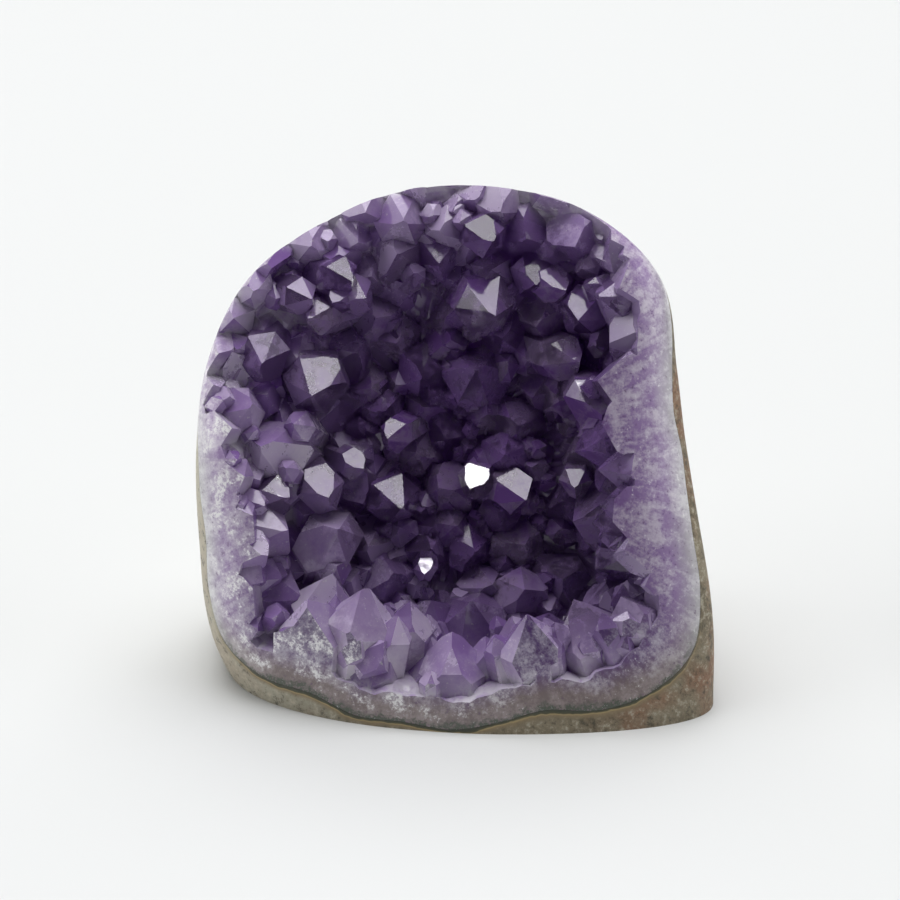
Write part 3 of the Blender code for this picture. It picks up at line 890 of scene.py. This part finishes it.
def crystal_finish(g, clouds, grit, off_bed, pale, tint, facet):
    """Colour of the crystals in the hollow, and how milky they are: in veils, and towards the root."""
    veil = g.span(g.weighed((clouds, facet, tint), VEIL_WEIGHTS), VEIL_SPAN)
    root = g.span(g.weighed((g.attribute("below_tip"), clouds), ROOT_WEIGHTS), ROOT_SPAN)
    milky = g.most(veil, g.times(root, ROOT_MILKY), g.times(pale, PALE_MILKY))
    deep = g.mix(veil, *DEEP_PURPLE)
    light = g.mix(g.weighed((root, facet, veil), LIGHT_WEIGHTS), *PALE_PURPLE)
    colour = g.mix(milky, g.mix(tint, *CLEAR_LILAC), g.mix(pale, deep, light))
    flecks = g.math("MULTIPLY_ADD", pale, FLECKS_WHERE_PALE, FLECKS_ANYWHERE)
    flecks = g.times(g.span(grit, FLECK_GRIT), flecks)
    sugary = g.times(g.span(off_bed, SUGARY_OFF_BED, FALLING), g.span(clouds, SUGARY_CLOUDS),
                     g.span(pale, SUGARY_PALE))
    sugary = g.most(sugary, flecks)
    return g.mix(sugary, colour, SUGARY_WHITE), g.most(milky, sugary)


def rim_finish(g, clouds, grit, off_bed, across, upward):
    """Colour of the ground rim, and how clear it is: bands along the seam, then sugary quartz, with a foot
    that is darker partly by painted shade.
    """
    streaks = g.noise(STREAKS, g.attribute("grain", "Vector"))
    inwards = g.math("DIVIDE", g.waved(off_bed, clouds, RIM_WAVES), RIM_BANDS)
    light = g.span(g.weighed((streaks, clouds, grit, across), RIM_WEIGHTS), RIM_LIGHT)
    sides = g.mix(light, g.ramp(inwards, SIDE_DARK), g.ramp(inwards, SIDE_LIGHT))
    # The foot is darker: partly purple crystal sections, and partly painted shade of the lower rim, which
    # faces down
    foot_purple_and_shade = g.mix(light, g.ramp(inwards, FOOT_DARK), g.ramp(inwards, FOOT_LIGHT))
    at_foot = g.span(upward, AT_FOOT, FALLING)
    colour = g.mix(at_foot, sides, foot_purple_and_shade)
    line = g.times(at_foot, g.span(inwards, GREEN_BAND, FALLING), g.span(grit, GREEN_GRIT))
    colour = g.mix(line, colour, GREEN_AGATE)
    tufts = g.times(g.span(clouds, TUFT_CLOUDS), g.span(grit, TUFT_GRIT), g.span(inwards, TUFT_BAND),
                    g.span(across, TUFT_ACROSS, TUFT_LEFT_TO_RIGHT))
    white = g.most(tufts, g.times(g.span(grit, FLECK_GRIT), RIM_FLECKS))
    colour = g.mix(white, colour, WHITE_QUARTZ)
    colour = g.mix(g.span(grit, DARK_GRIT, DARK_GRIT_SHARES), colour, DARK_VIOLET)
    return colour, g.times(g.span(inwards, CLEAR_BAND, RIM_CLEAR), g.rest(white))


def quartz_material():
    """Clear to milky quartz, purple in the hollow and pale on the ground rim, that absorbs light inside."""
    g = Graph("amethyst_quartz")
    ground, bedside, off_bed = g.attribute("ground"), g.attribute("bedside"), g.attribute("off_bed")
    tint, facet = g.attribute("tint"), g.attribute("facet")
    across, upward, share = g.parts(g.attribute("ring", "Vector"))
    unlit = g.span(g.attribute("glassy"), RISING, (1.0, LIT_SHARE))
    pale = g.times(g.span(g.weighed((share, across, upward), PALE_WEIGHTS), PALE_SPAN), unlit)
    clouds, grit = g.noise(CLOUDS), g.noise(GRIT)
    crystal, milky = crystal_finish(g, clouds, grit, off_bed, pale, tint, facet)
    rim, rim_clear = rim_finish(g, clouds, grit, off_bed, across, upward)
    colour = g.mix(bedside, g.mix(ground, crystal, rim), BEDSIDE_COLOUR)
    crystal_clear = g.times(g.span(milky, RISING, CRYSTAL_CLEAR_TO_MILKY), g.rest(ground))
    clear = g.times(g.math("MULTIPLY_ADD", rim_clear, ground, crystal_clear), g.rest(bedside))
    rough = g.math("MULTIPLY_ADD", milky, MILKY_ROUGHNESS, g.span(facet, FACE_SPAN, FACE_ROUGHNESS))
    normal = g.bump(g.noise(FACE_WAVES), FACE_BUMP, FACE_BUMP_STRENGTH)
    g.set(Base_Color=colour, Transmission_Weight=clear, IOR=QUARTZ_IOR, Roughness=g.times(rough, unlit),
          Normal=normal)
    absorb = g.tree.nodes.new("ShaderNodeVolumeAbsorption")
    g.feed(absorb.inputs["Color"], ABSORPTION_COLOUR)
    g.feed(absorb.inputs["Density"], ABSORPTION_DENSITY)
    g.feed(g.tree.nodes["Material Output"].inputs["Volume"], absorb.outputs["Volume"])
    return g.material


def rock_material():
    """Grainy tan and brown rock with patches of rust, and a golden lining along the seam at the foot."""
    g = Graph("basalt_rock")
    across, upward, _ = g.parts(g.attribute("ring", "Vector"))
    patches, grains = g.noise(ROCK_PATCHES), g.noise(ROCK_GRAINS)
    brown = g.span(g.weighed((patches, across), BROWN_WEIGHTS), BROWN_SPAN)
    colour = g.mix(brown, g.ramp(patches, TAN_ROCK), g.ramp(patches, BROWN_ROCK))
    rusty = g.times(g.span(g.noise(RUST_PATCHES), RUST_SPAN, RUST_SHARES),
                    g.span(across, RUST_ACROSS, RUST_LEFT_TO_RIGHT))
    colour = g.mix(rusty, colour, RUST)
    colour = g.mix(g.span(grains, LIGHT_GRAINS, LIGHT_GRAIN_SHARES), colour, LIGHT_GRAIN)
    colour = g.mix(g.span(grains, DARK_GRAINS, DARK_GRAIN_SHARES), colour, DARK_GRAIN)
    off_bed = g.waved(g.attribute("off_bed"), g.noise(LINING_WAVES), LINING_WAVE)
    lined = g.times(g.span(off_bed, LINED, FALLING), g.span(upward, AT_FOOT, FALLING))
    colour = g.mix(lined, colour, g.ramp(g.math("DIVIDE", off_bed, LINING_BANDS), LINING))
    normal = g.bump(g.noise(ROCK_RELIEF), ROCK_BUMP, ROCK_BUMP_STRENGTH)
    g.set(Base_Color=colour, Roughness=g.span(grains, GRAIN_SPAN, ROCK_ROUGHNESS), Normal=normal)
    return g.material


def dress(piece, node, finish):
    """Gives a piece its material, and puts it in the place of its CAD node."""
    piece.data.materials.clear()
    piece.data.materials.append(finish)
    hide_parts(node)
    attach(piece, "root")


def make_floor():
    mesh = bmesh.new()
    bmesh.ops.create_circle(mesh, cap_ends=True, segments=FLOOR_SEGMENTS, radius=FLOOR_RADIUS)
    floor = add_object("floor", mesh)
    g = Graph("pale_floor")
    g.set(Base_Color=FLOOR_COLOUR, Roughness=FLOOR_ROUGHNESS)
    floor.data.materials.append(g.material)


def add_softbox(name, place, size, radiance):
    """A square lamp that faces the middle of the foot."""
    lamp = bpy.data.lights.new(name, "AREA")
    lamp.shape = "SQUARE"
    lamp.size = size
    lamp.energy = radiance * math.pi * size ** 2
    softbox = bpy.data.objects.new(name, lamp)
    softbox.location = place
    softbox.rotation_mode = "QUATERNION"
    softbox.rotation_quaternion = softbox.location.to_track_quat("Z", "Y")
    bpy.context.scene.collection.objects.link(softbox)


def make_light():
    for row in SOFTBOXES:
        add_softbox(*row)
    world = bpy.data.worlds.new("studio")
    world.use_nodes = True
    background = world.node_tree.nodes["Background"]
    background.inputs["Color"].default_value = WORLD_COLOUR
    background.inputs["Strength"].default_value = WORLD_STRENGTH
    bpy.context.scene.world = world
    bpy.context.scene.view_settings.view_transform = "Standard"
    paths = bpy.context.scene.cycles
    paths.max_bounces = 5
    paths.diffuse_bounces = 3
    paths.glossy_bounces = 3
    paths.transmission_bounces = 5
    paths.sample_clamp_indirect = 4.0


def make_camera():
    lens = bpy.data.cameras.new("camera")
    lens.sensor_width = SENSOR_WIDTH
    lens.lens = SENSOR_WIDTH * CAMERA_DISTANCE * PIXELS_PER_METRE / FRAME_PIXELS
    camera = bpy.data.objects.new("camera", lens)
    off_u = (FRAME_PIXELS / 2 - FACE_PIXEL[0]) / PIXELS_PER_METRE
    off_v = (FACE_PIXEL[1] - FRAME_PIXELS / 2) / PIXELS_PER_METRE
    camera.location = FACE_CENTRE + U_AXIS * off_u + V_AXIS * off_v + W_AXIS * CAMERA_DISTANCE
    camera.rotation_mode = "QUATERNION"
    camera.rotation_quaternion = W_AXIS.to_track_quat("Z", "Y")
    bpy.context.scene.collection.objects.link(camera)
    bpy.context.scene.camera = camera


crust_piece, grown_crystals = crust_shape()
note_places(crust_piece.data)
note_crystals(crust_piece.data, grown_crystals)
rock_piece = rock_shape()
note_places(rock_piece.data)
dress(crust_piece, "amethyst_crust", quartz_material())
dress(rock_piece, "stone_matrix", rock_material())
make_floor()
make_light()
make_camera()
